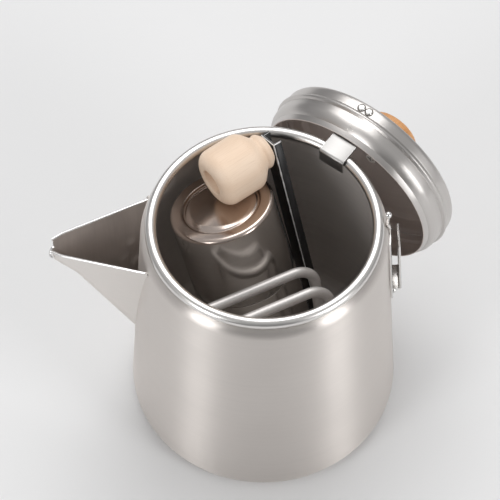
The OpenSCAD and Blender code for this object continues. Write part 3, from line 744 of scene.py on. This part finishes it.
def lid_hook():
    """Strip riveted inside the lid, out under its edge, over the rim and down inside the pot."""
    band, strip = LID_SKIRT_R - LID_SHEET, CLIP_X - CLIP_T / 2
    end_z = -CLIP_REACH + CLIP_T / 2
    centre = [(-band + 0.55, 20), (-band + 0.55, 15.2), (-strip, 10.2), (-strip, end_z),
              (-CLIP_X + 9.4, end_z)]
    prism("lid_hook", thick(fillet(centre, [0, 1.2, 1.2, 1.1, 0], 6), CLIP_T, 3), -CLIP_W / 2, CLIP_W / 2,
          ON_LID, "lid", [M_CLIP, M_EDGE], 0.2, 1, nodes=("lid_clip",), slot="bright_steel")
    head = [(0, 0.85), (1.1, 0.8), (1.7, 0.58), (1.95, 0.2), (1.95, -0.6), (0, -0.6)]
    head_in = [(0, 0.7), (1.1, 0.62), (1.8, 0.3), (1.9, -1.2), (0, -1.2)]
    # painted shadow: a dark ring under each outer rivet head, where shade falls between the head and the
    # skirt
    shadow_ring = [(1.85, 0.16), (2.35, 0.16), (2.4, 0.05), (2.4, -0.5), (1.85, -0.5)]
    for i, y in enumerate((-2.3, 2.3)):
        outer = ON_LID @ T(-LID_SKIRT_R + 0.15, y, LID_RIVET_Z) @ R("Y", -90)
        inner = ON_LID @ T(-LID_SKIRT_R + 3.0, y, LID_RIVET_Z) @ R("Y", 90)
        lathe("lid_rivet_%d" % i, head, outer, "lid", [M_FIT], segs=32, closed=False,
              nodes=("lid_clip_rivets",) if i == 0 else (), slot="bright_steel")
        lathe("lid_rivet_gap_%d" % i, shadow_ring, outer, "lid", [M_PAINTED_SHADOW], segs=32, slot="bright_steel")
        lathe("lid_rivet_in_%d" % i, head_in, inner, "lid", [M_FIT], segs=32, closed=False,
              slot="bright_steel")


def lid_knob():
    r, top = 16.0, 20.0
    out = [(0, 0), (9.2, 0), (9.9, 0.3)] + arc(r * 0.62 + 1.5, 4.2, 2.6, 235, 125, 8)
    out += arc(r - 3, 9.6, 3, -40, 0, 5) + arc(r - 4, top - 4.9, 4, 0, 72, 9)
    out += arc(0, top - 60, 60, 79, 90, 6)
    lathe("lid_knob_wood", out, ON_LID @ T(0, 0, LID_DEPTH + 3.8), "lid", [M_OAK], segs=96, sharp=50,
          nodes=("lid_knob",), slot="lid_wood")


def lid():
    lid_sheet()
    lid_hook()
    # three pinhead spot welds on the skirt above the clip
    for i, (y, z) in enumerate(((-1.6, 4.6), (0.3, 5.6), (1.4, 3.9))):
        x = -(LID_R - 8 + math.sqrt(64 - (9 - z) ** 2)) + 0.1
        blob("lid_spot_%d" % i, (x, y, z), (0.35, 0.5, 0.5), ON_LID, "lid", i)
    lid_knob()


# ---------------------------------------------------------------- handle
ROD_R, ROD_GAP, ROD_BEND = 2.8, 17.0, 12.0
ROD_START, ROD_END, GRIP_L = -26.0, 38.0, 106


def handle_bar():
    """Two bars and two legs, joined by a half round at the grip's end."""
    half = ROD_GAP / 2
    leg_end = -GRIP_L + half
    bar = [(x, -half, 0) for x in np.linspace(ROD_START - 2, ROD_END - ROD_BEND, 14)]
    bar += [(x, -half, z) for x, z in arc(ROD_END - ROD_BEND, -ROD_BEND, ROD_BEND, 90, 0, 12)[1:]]
    bar += [(ROD_END, -half, z) for z in np.linspace(-ROD_BEND, leg_end, 16)[1:]]
    grip = [(ROD_END, y, z) for y, z in arc(0, leg_end, half, 180, 360, 20)[1:-1]]
    run(bar + grip + [(x, -y, z) for x, y, z in bar[::-1]], ROD_R, ON_HANDLE, "handle", [M_ROD],
        "handle_bar", segs=32, nodes=("handle_rod",), slot="polished_rod")


def handle():
    handle_bar()
    # yoke block with the two bars pressed in, and the flat tongue
    half, block_r = ROD_GAP / 2, ROD_R + 1.2
    back = ROD_START - 6
    block = arc(half, 0, block_r, -90, 90, 12) + arc(-half, 0, block_r, 90, 270, 12)
    prism("handle_block", block, back, ROD_START, ON_HANDLE, "handle", [M_ROD, M_EDGE], 0.5, 0, 3,
          plane="yz", nodes=("handle_yoke",), slot="polished_rod")
    w, t, length = 6.0, 2.4, 26.0
    shape = [(-w, ROD_R), (-w, -length + 4), (-w + 4, -length),
             (w - 4, -length), (w, -length + 4), (w, ROD_R)]
    prism("handle_blade", fillet(shape, 1.5, 4, closed=True), back, back + t, ON_HANDLE, "handle",
          [M_ROD, M_EDGE], 0.35, 1, 3, plane="yz", nodes=("handle_tongue",), slot="polished_rod")
    eye = [(1.9, t + 0.12), (2.5, t + 0.16), (2.9, t - 0.05), (2.9, 0.05), (2.5, -0.16), (1.9, -0.12)]
    lathe("blade_eye", eye, ON_HANDLE @ T(back, 0, -length + 6) @ R("Y", 90), "handle", [M_ROD], segs=32,
          slot="polished_rod")


# ---------------------------------------------------------------- hand mill
MILL_SHEET, MILL_GAP, SPIGOT = 0.9, 0.05, 9


def mill_cup():
    """Cup with the stamped foot that faces up out of the pot."""
    r, t = MILL_R, MILL_SHEET
    dish = r * 0.68
    foot = [(0, 0.2 - t / 2), (dish - 2.2, 0.05 - t / 2), (dish - 0.6, -0.55 - t / 2),
            (dish + 0.4, -1.2 - t / 2), (dish + 1.6, -1.2 - t / 2), (dish + 2.6, -t / 2), (r - 3.5, -t / 2)]
    line = fillet(foot, [0, 3, 0.8, 0.8, 0.8, 0.8, 0], 4) + arc(r - 2.2, -2.2, 2.2 - t / 2, 90, 0, 8)
    line += [(r - t / 2, -12), (r - t / 2, -30), (r - t / 2, -CUP_L + 0.3)]
    foot_z = -2.4
    lathe("mill_cup_shell", thick(line, t, 3), ON_MILL, "mill", [M_MILL, M_FOOT, M_INSIDE],
          lambda rr, z, k: 1 if z > foot_z else (0 if rr > r - t * 0.5 else 2), segs=128,
          nodes=("mill_cup",), slot="mill_steel")


def mill_hopper():
    """Tube above the cup, with the spigot that the cup slides on."""
    r, t, cup = MILL_R, MILL_SHEET, CUP_L
    inner = r - t - MILL_GAP
    body = [(r, -cup - 0.3), (r, -MILL_L), (r - t, -MILL_L), (r - t, -cup - 3), (inner - t, -cup - 2),
            (inner - t, -cup + SPIGOT), (inner, -cup + SPIGOT), (inner, -cup - 0.3)]
    body = fillet(body, [0.2, 0.2, 0.2, 0.6, 0.6, 0.25, 0.25, 0.1], 3, closed=True)
    lathe("mill_hopper_shell", body, ON_MILL, "mill", [M_MILL, M_INSIDE],
          lambda rr, z, k: 1 if rr < r - 0.5 and z < -cup - 1 else 0, segs=128, nodes=("mill_body",),
          slot="mill_steel")


def mill_knob():
    """Turned knob: collar at the arm's side, recess in its free end, bored for the rivet."""
    r, length, end, bore = 15.95, 35.4, 34.3, 2.25
    out = [(7.5, 0.0), (8.6, 0.0)] + arc(r - 6.6, 6.6, 6.6, -82, 0, 12)
    out += arc(r - 6.4, length - 14.6, 6.4, 0, 46, 10)
    out += fillet([(14.0, 25.4), (9.2, 29.9), (9.55, 31.0)], 1.5, 5)
    out += arc(7.55, length - 3.4, 2.15, 0, 42, 5)
    out += [(7.4, length - 0.15), (6.9, length), (bore, length), (bore, 5.6), (6.0, 5.5), (6.7, 5.0),
            (7.0, 4.4), (7.05, 0.8)]
    lathe("mill_knob_wood", fillet(out, 0.4, 3, closed=True),
          ON_ARM @ T(end - length, 0, KNOB_Z) @ R("Y", 90), "mill_knob", [M_MAPLE], segs=112, sharp=40,
          nodes=("mill_knob",), slot="mill_wood")


def mill():
    mill_cup()
    mill_hopper()
    mill_knob()


ARM_HALF, ARM_FLANGE, ARM_SHEET, ARM_X = 6.15, 4.5, 1.2, -2.3
ARM_TOP = (20.6 - HUB_Z - HUB_T / 2) / COS(math.radians(ARM_SPLAY))


def crank_edge_highlight():
    """Painted highlight: near-white strips along the channel's end and down its near corner."""
    x, half, top, e = ARM_X, ARM_HALF, ARM_TOP, 0.22
    end = [(x + e, half - e, top - 0.1), (x + e, -half + 0.9, top - 0.1), (x + 0.55, -half + e, top - 0.1),
           (x + ARM_FLANGE - 0.3, -half + e, top - 0.1)]
    run(end, 0.32, ON_CRANK, "mill", [M_EDGE_HIGHLIGHT], "crank_highlight_end", segs=10, ball=True, slot="black_steel")
    n = 40
    corner = [(x + 0.34, -half + 0.34, z) for z in np.linspace(top - 0.3, top - 92, n)]
    width = [0.36 + 0.1 * SIN(i * 1.7) + 0.06 * SIN(i * 4.1) - 0.004 * i for i in range(n)]
    run(corner, width, ON_CRANK, "mill", [M_EDGE_HIGHLIGHT], "crank_highlight_corner", segs=10, ball=True,
        slot="black_steel")


def crank():
    x, half, fl, t = ARM_X, ARM_HALF, ARM_FLANGE, ARM_SHEET
    m = half - t / 2
    # channel section with bent corners, square at its end, and painted highlight on its rounded edges and
    # corner faces
    sec = [(x + fl, -m), (x + t / 2, -m), (x + t / 2, m), (x + fl, m)]
    chan = prism("crank_channel", thick(fillet(sec, 1.0, 5), t, 3), 8, ARM_TOP, ON_CRANK, "mill",
                 [M_BLACK, M_EDGE_HIGHLIGHT], 0.42, 1, plane="xy", nodes=("crank_arm",), slot="black_steel")
    # painted highlight: faces at the channel's near corners take the near-white tone
    for p in chan.data.polygons:
        if p.center.x < (x + 0.62) * MM and abs(p.center.y) > (half - 0.75) * MM:
            p.material_index = 1
    crank_edge_highlight()
    # cheeks that take the hinge pin, with painted highlight on their rounded edges
    cheek = arc(0, 0, 4.1, 180, 360, 15) + [(x + fl, 3.2), (x + fl, 8.2), (x, 8.2), (x, 3.5)]
    for i, side in enumerate((-1, 1)):
        prism("crank_cheek_%d" % i, cheek, side * m - t / 2, side * m + t / 2, ON_CRANK, "mill",
              [M_BLACK, M_EDGE_HIGHLIGHT], 0.22, 1, slot="black_steel")
    # plate from the nut to the hinge, with painted highlight on its rounded edges
    hh = half - t - 0.3
    plate = arc(0, 0, 7.5, 38, 322, 39)
    plate += [(HINGE_R + 1.5, -hh), (HINGE_R + 3.2, -hh + 0.6),
              (HINGE_R + 3.2, hh - 0.6), (HINGE_R + 1.5, hh)]
    prism("crank_plate", plate, HUB_Z, HUB_Z + HUB_T, ON_ARM, "mill", [M_BLACK, M_EDGE_HIGHLIGHT], 0.4, 1,
          plane="xy", nodes=("crank_hub",), slot="black_steel")


pot()
spout()
bracket()
lid()
handle()
mill()
crank()

# ---------------------------------------------------------------- CAD nodes that stay
keep = {
    "lid_knob_washer": M_FIT, "lid_knob_screw": M_FIT, "burr_holder": M_PLASTIC, "outer_burr": M_CERAMIC,
    "inner_burr": M_CERAMIC, "drive_shaft": M_FIT, "shaft_bush_inner": M_BRONZE, "shaft_bush_outer": M_BRONZE,
    "burr_spring": M_FIT, "grind_adjuster": M_PLASTIC, "mill_cap": M_MILL, "crank_nut": M_FIT,
    "crank_pin": M_FIT, "knob_axle": M_FIT, "knob_washer": M_FIT,
}
for name, mat in keep.items():
    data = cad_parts[name].data
    data.materials.clear()
    data.materials.append(mat)


# ---------------------------------------------------------------- floor, light, camera
def link(name, data):
    ob = bpy.data.objects.new(name, data)
    bpy.context.scene.collection.objects.link(ob)
    return ob


def floor_mat():
    m, nt, b = new_mat("floor")
    g = noise(nt, local(nt), 900.0, 2.0, 0.5)
    nt.links.new(mix(nt, g, rgba(0.80, 0.80, 0.805), rgba(0.82, 0.82, 0.82)), b.inputs["Base Color"])
    b.inputs["Roughness"].default_value = 0.75
    b.inputs["Specular IOR Level"].default_value = 0.15
    return m


def floor():
    me = bpy.data.meshes.new("floor")
    bm = bmesh.new()
    bmesh.ops.create_grid(bm, x_segments=8, y_segments=8, size=3.0)
    bm.to_mesh(me)
    bm.free()
    me.materials.append(floor_mat())
    link("floor", me)


def sky():
    """Pale room that is darker low down and behind the camera."""
    world = bpy.data.worlds.new("studio")
    bpy.context.scene.world = world
    world.use_nodes = True
    nt = world.node_tree
    way = node(nt, "ShaderNodeSeparateXYZ", {0: local(nt, "Generated")})
    heights = ramp(nt, span(nt, way.outputs[2], -1, 1, 0, 1),
                   [(0.0, rgba(0.5, 0.5, 0.5)), (0.5, rgba(0.42, 0.42, 0.43)), (0.62, rgba(0.62, 0.62, 0.63)),
                    (0.85, rgba(0.95, 0.95, 0.95)), (1.0, rgba(1.0, 1.0, 1.0))])
    dim = span(nt, way.outputs[1], -0.95, -0.35, 0.45, 1.0)
    grey = node(nt, "ShaderNodeCombineColor", {0: dim, 1: dim, 2: dim}).outputs[0]
    background = nt.nodes["Background"]
    nt.links.new(mix(nt, 1.0, heights, grey, "MULTIPLY"), background.inputs[0])
    background.inputs[1].default_value = 0.56


def area(name, at, to, width, height, power):
    lamp = bpy.data.lights.new(name, "AREA")
    lamp.shape = "RECTANGLE"
    lamp.size = width
    lamp.size_y = height
    lamp.energy = power
    ob = link(name, lamp)
    ob.location = at
    ob.rotation_euler = (Vector(to) - Vector(at)).to_track_quat("-Z", "Y").to_euler()


def camera():
    data = bpy.data.cameras.new("camera")
    data.sensor_width = 36
    data.lens = 183.1
    data.clip_start = 0.05
    data.clip_end = 20
    cam = link("camera", data)
    cam.location = (-0.0074, -0.70823, 1.24196)
    cam.rotation_euler = Vector((0, 0.5366, -0.8439)).to_track_quat("-Z", "Y").to_euler()
    bpy.context.scene.camera = cam


floor()
sky()
area("top", (0.0, 0.9, 1.5), (0, 0, 0.1), 1.3, 1.3, 15)
area("left", (-0.92, -0.89, 0.6), (0, 0, 0.08), 0.42, 0.9, 5.0)
area("right", (1.04, -0.78, 0.58), (0, 0, 0.08), 0.45, 0.9, 5.8)
camera()
bpy.context.scene.view_settings.view_transform = "Standard"
